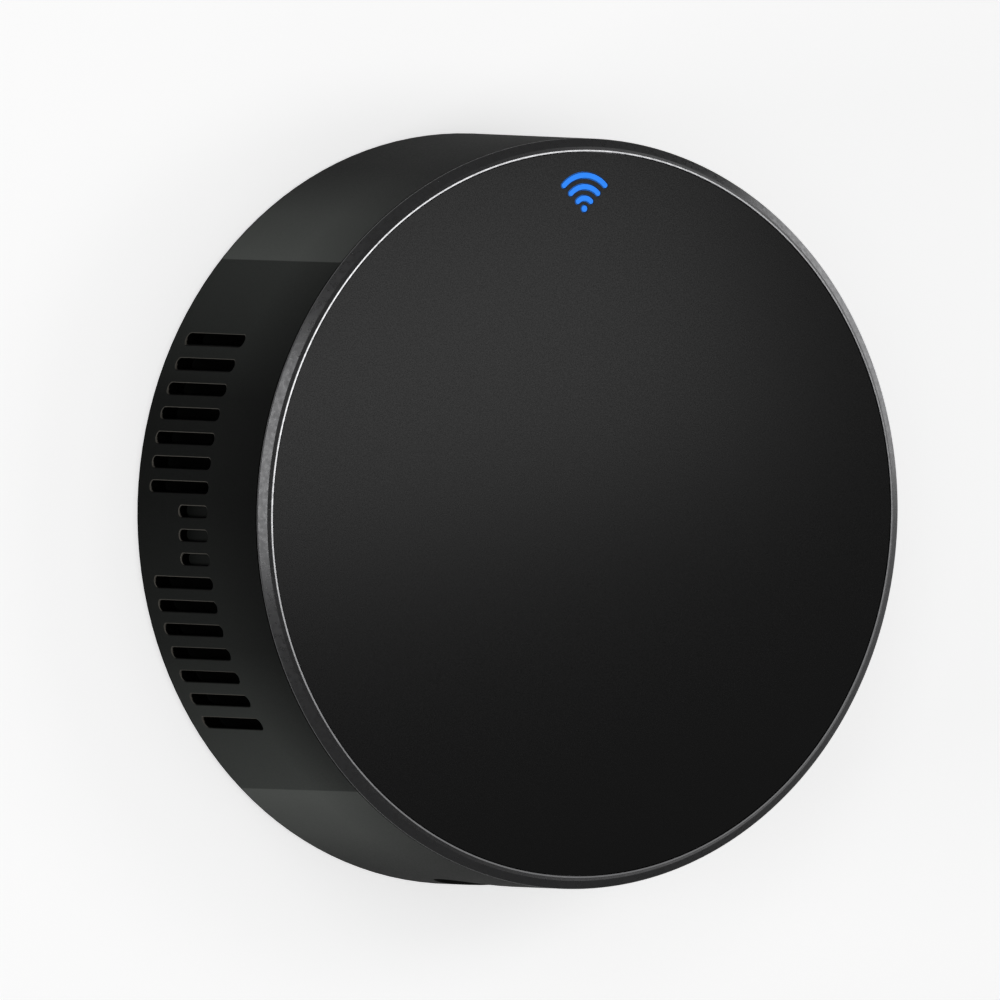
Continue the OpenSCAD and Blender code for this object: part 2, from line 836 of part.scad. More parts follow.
module main_board() {
    hole_d = lead_w * sqrt(2) + 2 * lead_gap;
    color([0.05, 0.3, 0.16])
        difference() {
            translate([0, 0, board_z0])
                cylinder(r = board_r, h = board_t);
            translate([0, 0, board_z0 - over]) {
                around(SCREW_ANGLES, foot_r)
                    cylinder(r = boss_r + notch_gap, h = board_t + 2 * over);
                around(POST_ANGLES, post_ring_r)
                    cylinder(d = screw_d + 2 * pass_gap, h = board_t + 2 * over);
                around(SIDE_LED_ANGLES, side_lead_r)
                    at_leads()
                        cylinder(d = hole_d, h = board_t + 2 * over);
                for (s = [-1, 1])
                    translate([s * front_led_x, front_led_y, 0])
                        at_leads()
                            cylinder(d = hole_d, h = board_t + 2 * over);
                at_tabs()
                    translate([-lead_gap, -lead_gap, 0])
                        cube([socket_t + 2 * lead_gap, tab_len + 2 * lead_gap, board_t + 2 * over]);
            }
        }
}

module radio_board() {
    color([0.04, 0.12, 0.3])
        translate([-radio_len / 2, -radio_y - radio_w / 2, board_z1])
            difference() {
                cube([radio_len, radio_w, radio_t]);
                for (y = [0, radio_w], i = [0 : half_hole_n - 1])
                    translate([can_inset + (i + 1 / 2) * half_hole_pitch, y, -over])
                        cylinder(r = half_hole_r, h = radio_t + 2 * over);
            }
}

module shield_can() {
    color([0.72, 0.73, 0.74])
        translate([can_inset - radio_len / 2, -radio_y - can_w / 2, board_z1 + radio_t])
            difference() {
                cube([can_len, can_w, can_h]);
                translate([can_t, can_t, -over])
                    cube([can_len - 2 * can_t, can_w - 2 * can_t, can_h - can_t + over]);
            }
}

// A LED along +Z with its base at the origin
module led_body(length) {
    cylinder(d = collar_d, h = collar_t);
    cylinder(d = led_d, h = length - led_d / 2);
    translate([0, 0, length - led_d / 2])
        sphere(d = led_d);
}

module side_emitters() {
    led_z = board_z1 + collar_d / 2 + led_lift;
    color([0.3, 0.34, 0.5])
        around(SIDE_LED_ANGLES, side_led_r)
            translate([0, 0, led_z]) {
                rotate([0, 90, 0])
                    led_body(led_len);
                at_leads() {
                    translate([-lead_run - lead_w / 2, -lead_w / 2, -lead_w / 2])
                        cube([lead_run + lead_w / 2 + collar_t / 2, lead_w, lead_w]);
                    translate([-lead_run - lead_w / 2, -lead_w / 2, board_z0 - lead_tail - led_z])
                        cube([lead_w, lead_w, led_z - board_z0 + lead_tail]);
                }
            }
}

module front_emitters() {
    color([0.3, 0.34, 0.5])
        for (s = [-1, 1])
            translate([s * front_led_x, front_led_y, board_z1 + solder_t]) {
                led_body(front_led_len);
                at_leads()
                    translate([-lead_w / 2, -lead_w / 2, -board_t - lead_tail])
                        cube([lead_w, lead_w, board_t + lead_tail + collar_t / 2]);
            }
}

module ir_receiver() {
    color([0.1, 0.08, 0.12])
        translate([0, receiver_y, board_z1]) {
            translate([-receiver_w / 2, -receiver_w / 2, 0])
                cube([receiver_w, receiver_w, receiver_h]);
            intersection() {
                translate([0, 0, receiver_h])
                    sphere(r = receiver_lens_r);
                translate([0, 0, receiver_h / 2])
                    cylinder(r = receiver_w / 2, h = receiver_h + receiver_lens_r);
            }
        }
}

module socket_shell() {
    color([0.75, 0.75, 0.76]) {
        translate([0, socket_y0, socket_z])
            difference() {
                flat_bar(socket_w, socket_h, socket_len);
                translate([0, -over, 0])
                    flat_bar(
                        socket_w - 2 * socket_t,
                        socket_h - 2 * socket_t,
                        socket_len - socket_rear_t + over
                    );
            }
        translate([0, 0, board_z0])
            at_tabs()
                cube([socket_t, tab_len, board_t + socket_t / 2]);
    }
}

module socket_tongue() {
    color([0.08, 0.08, 0.08])
        translate([-tongue_w / 2, socket_y0 + tongue_inset, socket_z - tongue_t / 2])
            cube([tongue_w, socket_len - socket_rear_t - tongue_inset, tongue_t]);
}

module switch_body() {
    well_h = plunger_in + 2 * button_travel;
    color([0.12, 0.12, 0.12])
        difference() {
            rotate([0, 0, button_angle])
                translate([switch_r1 - switch_len, -switch_w / 2, board_z1])
                    cube([switch_len, switch_w, switch_h]);
            on_button_axis(switch_r1 - well_h)
                cylinder(d = plunger_d + 2 * plunger_gap, h = well_h + over);
        }
}

module switch_plunger() {
    color([0.85, 0.85, 0.82])
        on_button_axis(switch_r1 - plunger_in)
            cylinder(d = plunger_d, h = plunger_in + plunger_out);
}

module reset_button() {
    button_len = body_r - button_sink - button_end_r;
    color([0.16, 0.16, 0.16])
        on_button_axis(button_end_r)
            difference() {
                union() {
                    cylinder(d = button_d, h = button_len);
                    cylinder(d = button_collar_d, h = button_collar_t);
                }
                translate([0, 0, button_len - button_dish])
                    cylinder(d1 = button_d / 2, d2 = button_d - button_dish, h = button_dish);
            }
}

module sensor_board() {
    color([0.05, 0.3, 0.16])
        translate([-sensor_r - sensor_t / 2, -sensor_w / 2, board_z1])
            cube([sensor_t, sensor_w, sensor_h]);
}

module sensor_chip() {
    color([0.8, 0.8, 0.78])
        translate([-sensor_r - sensor_t / 2 - chip_t, 0, board_z1 + sensor_h - chip_drop])
            difference() {
                translate([0, -chip_w / 2, -chip_w / 2])
                    cube([chip_t, chip_w, chip_w]);
                translate([-over, 0, 0])
                    rotate([0, 90, 0])
                        cylinder(r = chip_hole_r, h = chip_t / 2 + over);
            }
}

module sensor_pins() {
    color([0.8, 0.65, 0.3])
        for (i = [0 : pin_n - 1])
            translate([
                sensor_t / 2 - sensor_r,
                (i - (pin_n - 1) / 2) * pin_pitch - lead_w / 2,
                board_z1
            ]) {
                cube([lead_w, lead_w, pin_pitch]);
                cube([pin_pitch, lead_w, lead_w]);
            }
}

module power_capacitor() {
    color([0.7, 0.71, 0.72])
        translate([-cap_x, socket_y1 + cap_gap + cap_base_w / 2, board_z1]) {
            translate([-cap_base_w / 2, -cap_base_w / 2, 0])
                cube([cap_base_w, cap_base_w, cap_base_t]);
            rotate_extrude()
                polygon([
                    [0, cap_base_t / 2],
                    [cap_d / 2, cap_base_t / 2],
                    [cap_d / 2, cap_base_t + cap_bead],
                    [cap_d / 2 - cap_bead, cap_base_t + 2 * cap_bead],
                    [cap_d / 2, cap_base_t + 3 * cap_bead],
                    [cap_d / 2, cap_h - cap_bead],
                    [cap_d / 2 - cap_bead, cap_h],
                    [0, cap_h]
                ]);
        }
}

module voltage_regulator() {
    leg_t = reg_leg_w / 2;
    color([0.12, 0.12, 0.13])
        translate([reg_x, socket_y1 + reg_gap + reg_leg_len + reg_len / 2, board_z1]) {
            translate([-reg_w / 2, -reg_len / 2, leg_t / 2])
                cube([reg_w, reg_len, reg_h]);
            for (i = [-1, 0, 1])
                translate([i * reg_pitch - reg_leg_w / 2, -reg_len / 2 - reg_leg_len, 0])
                    cube([reg_leg_w, reg_leg_len + leg_t, leg_t]);
            translate([-reg_tab_w / 2, reg_len / 2 - leg_t, 0])
                cube([reg_tab_w, reg_leg_len + leg_t, leg_t]);
        }
}

module driver_transistors() {
    leg_t = fet_leg_w / 2;
    color([0.12, 0.12, 0.13])
        around(FET_ANGLES, fet_r)
            translate([0, 0, board_z1]) {
                translate([-fet_len / 2, -fet_w / 2, leg_t / 2])
                    cube([fet_len, fet_w, fet_h]);
                for (s = [-1, 1])
                    translate([fet_len / 2 - leg_t, s * fet_w / 3 - fet_leg_w / 2, 0])
                        cube([fet_leg_len + leg_t, fet_leg_w, leg_t]);
                translate([-fet_len / 2 - fet_leg_len, -fet_leg_w / 2, 0])
                    cube([fet_leg_len + leg_t, fet_leg_w, leg_t]);
            }
}

housing_shell();
bezel_ring();
face_panel();
panel_adhesive();
signal_lens();
light_baffle();
status_led();
rear_cover();
foot_ring();
cover_screws();
main_board();
board_screws();
radio_board();
shield_can();
side_emitters();
front_emitters();
ir_receiver();
socket_shell();
socket_tongue();
switch_body();
switch_plunger();
reset_button();
sensor_board();
sensor_chip();
sensor_pins();
power_capacitor();
voltage_regulator();
driver_transistors();
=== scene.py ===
# %% [markdown]
# # A round infrared remote hub
# The real object is a black puck, 66 mm across, that stands on a rubber foot with its face up. Its looks
# rest on a few quiet surfaces: a satin face, a grey bezel ring with a bright inner edge, a moulded wall
# with a row of vents, and a small blue signal symbol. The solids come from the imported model, so this
# script adds the finer edges, the finishes, the light and the camera.

# %% Load the frame
import math

import bmesh
import bpy
from mathutils import Matrix, Vector


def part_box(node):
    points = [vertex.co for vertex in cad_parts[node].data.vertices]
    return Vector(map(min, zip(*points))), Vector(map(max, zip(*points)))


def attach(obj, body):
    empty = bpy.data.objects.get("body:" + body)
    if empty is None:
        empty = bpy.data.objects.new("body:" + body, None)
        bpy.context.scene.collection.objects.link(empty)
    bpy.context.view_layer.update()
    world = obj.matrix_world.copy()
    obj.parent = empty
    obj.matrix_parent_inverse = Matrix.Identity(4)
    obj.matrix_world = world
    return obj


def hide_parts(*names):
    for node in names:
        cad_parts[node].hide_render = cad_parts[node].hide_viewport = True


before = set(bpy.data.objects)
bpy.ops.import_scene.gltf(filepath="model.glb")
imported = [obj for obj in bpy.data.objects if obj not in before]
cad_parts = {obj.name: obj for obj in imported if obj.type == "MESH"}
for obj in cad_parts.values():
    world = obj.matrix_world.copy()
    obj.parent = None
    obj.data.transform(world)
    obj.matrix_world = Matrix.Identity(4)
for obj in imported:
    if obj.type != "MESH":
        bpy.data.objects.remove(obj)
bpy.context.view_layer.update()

MM = 0.001

# %% [markdown]
# ## The camera
# The photograph's parallel edges don't converge, as through a very long lens, and an orthographic camera
# does the same. How flat the face's circle looks gives the angle between its axis and the camera. The
# picture's scale and the bezel's place in it then give the view's width and the point to aim at.

# %% Camera
TO_CAMERA = Vector((-0.5225, 0.0205, 0.8525)).normalized()
ROLL = math.radians(0.5)
PIXELS_PER_MM = 11.38
IMAGE_PIXELS = 1000
BEZEL_PIXEL = (577.6, 513.7)
BEZEL_RISE = 0.3 * MM
CAMERA_DISTANCE = 600 * MM

level_up = (Vector((0, 1, 0)) - TO_CAMERA * TO_CAMERA.y).normalized()
image_up = Matrix.Rotation(ROLL, 3, TO_CAMERA) @ level_up
image_right = image_up.cross(TO_CAMERA)
pixel = MM / PIXELS_PER_MM
half_image = IMAGE_PIXELS / 2
bezel_centre = Vector((0, 0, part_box("housing_shell")[1].z + BEZEL_RISE))
aim = bezel_centre - image_right * (BEZEL_PIXEL[0] - half_image) * pixel
aim = aim + image_up * (BEZEL_PIXEL[1] - half_image) * pixel

camera_data = bpy.data.cameras.new("camera")
camera_data.type = "ORTHO"
camera_data.ortho_scale = IMAGE_PIXELS * pixel
camera = bpy.data.objects.new("camera", camera_data)
bpy.context.scene.collection.objects.link(camera)
facing_object = Matrix((image_right, image_up, TO_CAMERA)).transposed().to_4x4()
camera.matrix_world = Matrix.Translation(aim + TO_CAMERA * CAMERA_DISTANCE) @ facing_object
bpy.context.scene.camera = camera
print("camera leans", round(math.degrees(math.acos(TO_CAMERA.z)), 1), "degrees off the face's axis")

# %% [markdown]
# ## Small helpers for materials
# A material is a tree of nodes, and building one by hand repeats a few moves: put a number on a socket or
# link it, add a noise, spread a value over a new range, and mix two colours. Each move gets a short
# helper, so that a finish later reads like a recipe. All patterns read Object coordinates, so they stay
# in place on every piece and in every view.


# %% Material helpers
NOISE_LOW = 0.3
NOISE_HIGH = 0.7
FINE_DETAIL = 3


def feed(tree, socket, value):
    """Links a node's output to the socket, or sets the socket to a number, a vector or a colour."""
    if isinstance(value, bpy.types.NodeSocket):
        tree.links.new(value, socket)
    else:
        socket.default_value = value


def start_material(name):
    material = bpy.data.materials.new(name)
    material.use_nodes = True
    tree = material.node_tree
    return material, tree, tree.nodes["Principled BSDF"]


def object_noise(tree, size_mm, detail=2.0):
    coords = tree.nodes.new("ShaderNodeTexCoord")
    noise = tree.nodes.new("ShaderNodeTexNoise")
    feed(tree, noise.inputs["Scale"], 1 / (size_mm * MM))
    feed(tree, noise.inputs["Detail"], detail)
    feed(tree, noise.inputs["Vector"], coords.outputs["Object"])
    return noise.outputs["Fac"]


def spread(tree, value, to_low, to_high, from_low=NOISE_LOW, from_high=NOISE_HIGH):
    """Spreads a value over a new range. With no other range given, the value is a noise's."""
    ramp = tree.nodes.new("ShaderNodeMapRange")
    feed(tree, ramp.inputs["Value"], value)
    feed(tree, ramp.inputs["From Min"], from_low)
    feed(tree, ramp.inputs["From Max"], from_high)
    feed(tree, ramp.inputs["To Min"], to_low)
    feed(tree, ramp.inputs["To Max"], to_high)
    return ramp.outputs["Result"]


def mix(tree, share, under, over, way="MIX"):
    """Lays one colour over another. Each is a plain colour or a node's output."""
    node = tree.nodes.new("ShaderNodeMix")
    node.data_type = "RGBA"
    node.blend_type = way
    feed(tree, node.inputs["Factor"], share)
    for socket, colour in ((node.inputs["A"], under), (node.inputs["B"], over)):
        feed(tree, socket, (*colour, 1) if isinstance(colour, tuple) else colour)
    return node.outputs["Result"]


def relief(tree, shader, height, depth_mm):
    bump = tree.nodes.new("ShaderNodeBump")
    feed(tree, bump.inputs["Distance"], depth_mm * MM)
    feed(tree, bump.inputs["Height"], height)
    feed(tree, shader.inputs["Normal"], bump.outputs["Normal"])


def scaled(colour, share):
    return tuple(min(1.0, channel * share) for channel in colour)


print("half of a mid grey:", scaled((0.5, 0.5, 0.5), 0.5))

# %% [markdown]
# ## A finish that is never one flat colour
# Moulded plastic, rubber and sheet metal all vary a little in tone, gloss and relief. One recipe serves
# them all: a fine grain gives the relief and the gloss, and a mottle 20 times as broad gives the tone.

# %% Finish recipe
MOTTLE_PER_GRAIN = 20
GLOSS_SWING = 0.06


def finish(name, colour, roughness, metallic=0.0, specular=0.5, grain=0.25, depth=0.006, mottle=0.12):
    """A plain finish. The grain's size and the relief's depth are in millimetres."""
    material, tree, shader = start_material(name)
    feed(tree, shader.inputs["Metallic"], metallic)
    feed(tree, shader.inputs["Specular IOR Level"], specular)
    broad = object_noise(tree, MOTTLE_PER_GRAIN * grain)
    tone = mix(tree, broad, scaled(colour, 1 - mottle), scaled(colour, 1 + mottle))
    feed(tree, shader.inputs["Base Color"], tone)
    fine = object_noise(tree, grain, FINE_DETAIL)
    gloss = spread(tree, fine, roughness - GLOSS_SWING, roughness + GLOSS_SWING)
    feed(tree, shader.inputs["Roughness"], gloss)
    if depth:
        relief(tree, shader, fine, depth)
    return material


print("mottle:", MOTTLE_PER_GRAIN, "times as broad as the grain, gloss:", GLOSS_SWING, "up and down")

# %% [markdown]
# ## The face
# The face is a satin, infrared-clear disc. It is nearly black, and what the eye sees is the broad soft
# reflection of a lamp in a very fine grain. So the base colour is almost nothing, and the gloss is wide.

# %% Face finish
FACE_BLACK = (0.0016, 0.0016, 0.0017)
face_finish = finish("face_satin", FACE_BLACK, 0.26, specular=0.25, grain=0.12, depth=0.0003, mottle=0.2)
print("made", face_finish.name)

# %% [markdown]
# ## Where a point of the wall lies
# The wall's tone changes from zone to zone, much of it painted light and shade, and the slots' edges
# get painted shade and a painted highlight that differ from the wall around them. A painter would mask
# these places with tape. A material can do it with numbers instead: a point's place, its distance from
# the hub's axis, and the way its face looks.


# %% Wall places
def maths(tree, operation, first, second):
    node = tree.nodes.new("ShaderNodeMath")
    node.operation = operation
    feed(tree, node.inputs[0], first)
    feed(tree, node.inputs[1], second)
    return node.outputs["Value"]


def vector_maths(tree, operation, first, second=None):
    node = tree.nodes.new("ShaderNodeVectorMath")
    node.operation = operation
    feed(tree, node.inputs[0], first)
    if second is not None:
        feed(tree, node.inputs[1], second)
    return node.outputs["Value" if operation in ("LENGTH", "DOT_PRODUCT") else "Vector"]


def split(tree, vector):
    node = tree.nodes.new("ShaderNodeSeparateXYZ")
    feed(tree, node.inputs["Vector"], vector)
    return node.outputs


def wall_places(tree):
    """A point's x, y, z and radius, and how far its face looks outwards, round the wall and up."""
    coords = tree.nodes.new("ShaderNodeTexCoord").outputs["Object"]
    normal = tree.nodes.new("ShaderNodeNewGeometry").outputs["Normal"]
    place = split(tree, coords)
    flat = vector_maths(tree, "MULTIPLY", coords, (1, 1, 0))
    outwards = vector_maths(tree, "NORMALIZE", flat)
    return {
        "x": place["X"],
        "y": place["Y"],
        "z": place["Z"],
        "radius": vector_maths(tree, "LENGTH", flat),
        "outwards": vector_maths(tree, "DOT_PRODUCT", outwards, normal),
        "round_wall": split(tree, vector_maths(tree, "CROSS_PRODUCT", normal, outwards))["Z"],
        "upwards": split(tree, normal)["Z"],
    }


def below(tree, value, limit, soft):
    return spread(tree, value, 1, 0, limit - soft, limit + soft)


def between(tree, value, low, high, soft):
    rise = spread(tree, value, 0, 1, low - soft, low + soft)
    return maths(tree, "MULTIPLY", rise, below(tree, value, high, soft))


def product(tree, *factors):
    result = factors[0]
    for factor in factors[1:]:
        result = maths(tree, "MULTIPLY", result, factor)
    return result


print("the wall's places are measured in metres, in the hub's own frame")

# %% [markdown]
# ## The wall's tones and its painted light
# The wall is moulded plastic with a slight green tint. A darker window lies around the vents, from 42
# degrees above 9 o'clock to 48 degrees below it, and the rest of the wall is a paler satin. The border
# between them is a step in the finish, and the satin's paler tone is painted light: it stands in for the
# light the wall reflects above and below the vents. The window is painted light and shade too, darkest
# in its middle and lighter at its ends, and the satin is painted darker at its far ends. Both get a
# painted shade towards the bezel. A colour ramp holds such a run of tones in one node.

# %% Wall tones
WINDOW_TOP = 22.03 * MM
WINDOW_BOTTOM = -24.5 * MM
WINDOW_TILT = -0.006
WINDOW_TINT = (0.92, 1.0, 0.93)
# Painted light and shade on the window: darkest in its middle, lighter towards its ends.
WINDOW_PAINTED_LIGHT_STOPS = ((-24.5, 0.053), (-12, 0.0138), (1, 0.006), (10, 0.0072), (22.3, 0.035))
# Painted shade on the window towards the bezel.
WINDOW_SHADE_BY_BEZEL = (0.45, 0.45, 0.45)
SATIN_TINT = (0.94, 1.0, 0.94)
# Painted light on the satin: palest next to the window, painted darker at its far ends.
SATIN_PAINTED_LIGHT_STOPS = (
    (-33, 0.026), (-31.5, 0.038), (-28.5, 0.082), (-25, 0.103),
    (22, 0.1), (26, 0.08), (30, 0.027), (33, 0.02),
)
# Painted shade on the satin towards the bezel.
SATIN_SHADE_BY_BEZEL = (0.66, 0.66, 0.66)
UNCHANGED = (1, 1, 1)
# The painted shade towards the bezel starts and ends at these heights.
SHADE_FALL_START = 13 * MM
SHADE_FALL_END = 21 * MM
STEP_WIDTH = 0.03 * MM


def tone_along(tree, across, stops_mm, tint):
    """Tone that changes from one side of the wall to the other, by its stops."""
    first = stops_mm[0][0]
    last = stops_mm[-1][0]
    ramp = tree.nodes.new("ShaderNodeValToRGB")
    stops = ramp.color_ramp.elements
    while len(stops) < len(stops_mm):
        stops.new(0.5)
    for stop, (place_mm, tone) in zip(stops, stops_mm):
        stop.position = (place_mm - first) / (last - first)
        stop.color = (*scaled(tint, tone), 1)
    feed(tree, ramp.inputs["Fac"], spread(tree, across, 0, 1, first * MM, last * MM))
    return ramp.outputs["Color"]


def wall_tone(tree, at):
    # Painted shade towards the bezel: one far from it, zero next to it.
    away = spread(tree, at["z"], 1, 0, SHADE_FALL_START, SHADE_FALL_END)
    # Painted light and shade along the wall, in the window and in the satin.
    window_painted_light = tone_along(tree, at["y"], WINDOW_PAINTED_LIGHT_STOPS, WINDOW_TINT)
    window_bezel_shade = mix(tree, away, WINDOW_SHADE_BY_BEZEL, UNCHANGED)
    window_painted_light = mix(tree, 1, window_painted_light, window_bezel_shade, "MULTIPLY")
    satin_painted_light = tone_along(tree, at["y"], SATIN_PAINTED_LIGHT_STOPS, SATIN_TINT)
    satin_bezel_shade = mix(tree, away, SATIN_SHADE_BY_BEZEL, UNCHANGED)
    satin_painted_light = mix(tree, 1, satin_painted_light, satin_bezel_shade, "MULTIPLY")
    tilted = maths(tree, "ADD", at["y"], maths(tree, "MULTIPLY", at["z"], WINDOW_TILT))
    window = between(tree, tilted, WINDOW_BOTTOM, WINDOW_TOP, STEP_WIDTH)
    return mix(tree, window, satin_painted_light, window_painted_light)


print("window:", round((WINDOW_TOP - WINDOW_BOTTOM) / MM, 1), "mm high")

# %% [markdown]
# ## The slots and the rear edge
# A slot's sides get little light, and they are painted black as painted shade. Its rounded rim gets a
# painted highlight on the upper side and at the rear end, and painted shade elsewhere. Here the masks
# find those faces by depth and by direction, and the tones are laid over the wall's own, one after the
# other, with a painted shade along the wall's rear edge as the last.

# %% Slot masks
WALL_R = 33 * MM
VENT_SIDE = -20 * MM
VENT_LOW = 2.3 * MM
VENT_HIGH = 13.3 * MM
CUT_START = 0.1 * MM
CUT_DEPTH = 1.55 * MM
ROUND_DEPTH = 0.15 * MM
SIDE_OUTWARDS = 0.6
SIDE_SOFT = 0.05
ROUND_OUTWARDS = (0.2, 0.97)
ROUND_SOFT = 0.02
# Which rim faces get the painted highlight: those on the upper side and at the rear end.
HIGHLIGHT_ROUND_WALL = (-0.25, -0.1)
HIGHLIGHT_UPWARDS = (0.1, 0.25)


def slot_masks(tree, at):
    """The slots' sides, their rounded rims, and the share of the rims that gets a painted highlight."""
    by_vents = product(
        tree, below(tree, at["x"], VENT_SIDE, STEP_WIDTH),
        between(tree, at["z"], VENT_LOW, VENT_HIGH, STEP_WIDTH),
    )
    deep = between(tree, at["radius"], WALL_R - CUT_DEPTH, WALL_R - CUT_START, STEP_WIDTH)
    sideways = between(tree, at["outwards"], -SIDE_OUTWARDS, SIDE_OUTWARDS, SIDE_SOFT)
    outermost = between(tree, at["radius"], WALL_R - ROUND_DEPTH, WALL_R + MM, STEP_WIDTH)
    rounded = between(tree, at["outwards"], *ROUND_OUTWARDS, ROUND_SOFT)
    upper_side = spread(tree, at["round_wall"], 1, 0, *HIGHLIGHT_ROUND_WALL)
    rear_end = spread(tree, at["upwards"], 0, 1, *HIGHLIGHT_UPWARDS)
    rim = product(tree, by_vents, rounded, outermost)
    highlight_rim = product(tree, rim, maths(tree, "MAXIMUM", upper_side, rear_end))
    return product(tree, by_vents, deep, sideways), rim, highlight_rim


print("slots:", round((VENT_HIGH - VENT_LOW) / MM, 1), "mm long")

# %% Wall finish
# The painted shade along the wall's rear edge reaches this high.
REAR_SHADE_BAND = 0.95 * MM
# Painted shade on the slots' sides and on the unlit part of their rims.
SLOT_SHADE_TONE = (0.001, 0.001, 0.001)
# Painted highlight on the upper and rear parts of the slot rims.
RIM_HIGHLIGHT_TONE = (0.09, 0.085, 0.075)
# Painted shade along the wall's rear edge, next to the floor.
REAR_SHADE_TONE = (0.004, 0.004, 0.004)
WALL_GRAIN = 0.16
WALL_GRAIN_DEPTH = 0.002
WALL_GLOSS = (0.44, 0.56)
WALL_SPECULAR = 0.04


def wall_material():
    material, tree, shader = start_material("wall_plastic")
    at = wall_places(tree)
    sides, rim, highlight_rim = slot_masks(tree, at)
    tone = wall_tone(tree, at)
    # Painted shade on the slots' sides and rims, then a painted highlight on part of the rims.
    tone = mix(tree, sides, tone, SLOT_SHADE_TONE)
    tone = mix(tree, rim, tone, SLOT_SHADE_TONE)
    tone = mix(tree, highlight_rim, tone, RIM_HIGHLIGHT_TONE)
    # Painted shade along the rear edge.
    tone = mix(tree, below(tree, at["z"], REAR_SHADE_BAND, STEP_WIDTH), tone, REAR_SHADE_TONE)
    feed(tree, shader.inputs["Base Color"], tone)
    fine = object_noise(tree, WALL_GRAIN, FINE_DETAIL)
    feed(tree, shader.inputs["Roughness"], spread(tree, fine, *WALL_GLOSS))
    relief(tree, shader, fine, WALL_GRAIN_DEPTH)
    feed(tree, shader.inputs["Specular IOR Level"], WALL_SPECULAR)
    return material


wall_finish = wall_material()
print("wall finish:", len(wall_finish.node_tree.nodes), "nodes")

# %% [markdown]
# ## The bezel's two finishes
# The bezel is turned metal in dark grey, and a polished bead at its inner edge is much brighter. Metal
# has no colour of its own apart from what it mirrors, so both finishes are plain metal of two tones.

# %% Bezel finishes
bezel_finish = finish("bezel_grey", (0.2, 0.2, 0.204), 0.3, metallic=1.0, grain=0.4, depth=0, mottle=0.04)
bead_finish = finish("bezel_bead", (0.52, 0.52, 0.53), 0.24, metallic=1.0, grain=0.4, depth=0, mottle=0.04)
print("made", bezel_finish.name, "and", bead_finish.name)

# %% [markdown]
# ## The symbol's blue
# The symbol is a light guide of blue plastic over an LED. A lamp inside would cost render time, so the
# plastic itself shines a little in its own colour.

# %% Symbol finish
SYMBOL_BLUE = (0.014, 0.235, 0.95)
SYMBOL_GLOW = 0.62
symbol_finish = finish("symbol_blue", SYMBOL_BLUE, 0.35, specular=0.3, grain=0.1, mottle=0.04)
symbol_shader = symbol_finish.node_tree.nodes["Principled BSDF"]
symbol_shader.inputs["Emission Color"].default_value = (*SYMBOL_BLUE, 1)
symbol_shader.inputs["Emission Strength"].default_value = SYMBOL_GLOW
shadow_finish = finish("shadow_line", (0.004, 0.003, 0.003), 0.6)
print("made", symbol_finish.name, "and", shadow_finish.name)

# %% [markdown]
# ## The finishes behind and inside
# The rear cover, the foot, the socket and the boards are seen from behind, from below or through the
# vents. Each takes the plain recipe with its own tone, gloss and grain, as the parts maker leaves it.

# %% Other finishes
black_plastic = finish("black_plastic", (0.02, 0.02, 0.02), 0.5)
rubber = finish("foot_rubber", (0.03, 0.03, 0.03), 0.8, specular=0.3, grain=0.3, depth=0.02)
screw_steel = finish("screw_steel", (0.45, 0.45, 0.47), 0.35, metallic=1.0, grain=0.1)
board_green = finish("board_green", (0.01, 0.12, 0.05), 0.3, grain=0.4)
board_blue = finish("board_blue", (0.01, 0.04, 0.14), 0.3, grain=0.4)
can_steel = finish("can_steel", (0.6, 0.61, 0.62), 0.3, metallic=1.0)
led_resin = finish("led_resin", (0.2, 0.24, 0.45), 0.12, depth=0.001)
receiver_resin = finish("receiver_resin", (0.03, 0.02, 0.04), 0.15, depth=0.001)
socket_steel = finish("socket_steel", (0.62, 0.62, 0.63), 0.28, metallic=1.0)
plunger_plastic = finish("plunger_plastic", (0.7, 0.69, 0.64), 0.5)
chip_plastic = finish("chip_ceramic", (0.6, 0.6, 0.57), 0.4)
pin_brass = finish("pin_brass", (0.75, 0.55, 0.2), 0.3, metallic=1.0)
cap_aluminium = finish("cap_aluminium", (0.65, 0.66, 0.67), 0.35, metallic=1.0)
foam = finish("adhesive_foam", (0.5, 0.47, 0.36), 0.9, grain=0.15, depth=0.03)

NODE_FINISHES = {
    "housing_shell": wall_finish,
    "bezel_ring": bezel_finish,
    "face_panel": face_finish,
    "panel_adhesive": foam,
    "signal_lens": symbol_finish,
    "light_baffle": black_plastic,
    "status_led": led_resin,
    "rear_cover": black_plastic,
    "foot_ring": rubber,
    "cover_screws": screw_steel,
    "main_board": board_green,
    "board_screws": screw_steel,
    "radio_board": board_blue,
    "shield_can": can_steel,
    "side_emitters": led_resin,
    "front_emitters": led_resin,
    "ir_receiver": receiver_resin,
    "socket_shell": socket_steel,
    "socket_tongue": black_plastic,
    "switch_body": black_plastic,
    "switch_plunger": plunger_plastic,
    "reset_button": black_plastic,
    "sensor_board": board_green,
    "sensor_chip": chip_plastic,
    "sensor_pins": pin_brass,
    "power_capacitor": cap_aluminium,
    "voltage_regulator": black_plastic,
    "driver_transistors": black_plastic,
}
for node_name, material in NODE_FINISHES.items():
    for material_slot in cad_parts[node_name].material_slots:
        material_slot.material = material
print("finishes on", len(NODE_FINISHES), "nodes")

# %% [markdown]
# ## The bezel as a turned ring
# A lathe turns a ring from its section, and a spin does the same to a few vertices. The section has the
# seat in the wall, the broad outer chamfer, a steep slope up to the bead and the bead's flat crown.
# Bevels round the two edges that catch the light. 288 steps keep the circle round in a close view.

# %% Ring helpers
TURN_STEPS = 288
SAME_PLACE = 0.004


def new_piece(name, bm, *materials):
    mesh = bpy.data.meshes.new(name)
    bm.to_mesh(mesh)
    bm.free()
    piece = bpy.data.objects.new(name, mesh)
    bpy.context.scene.collection.objects.link(piece)
    for material in materials:
        mesh.materials.append(material)
    return piece


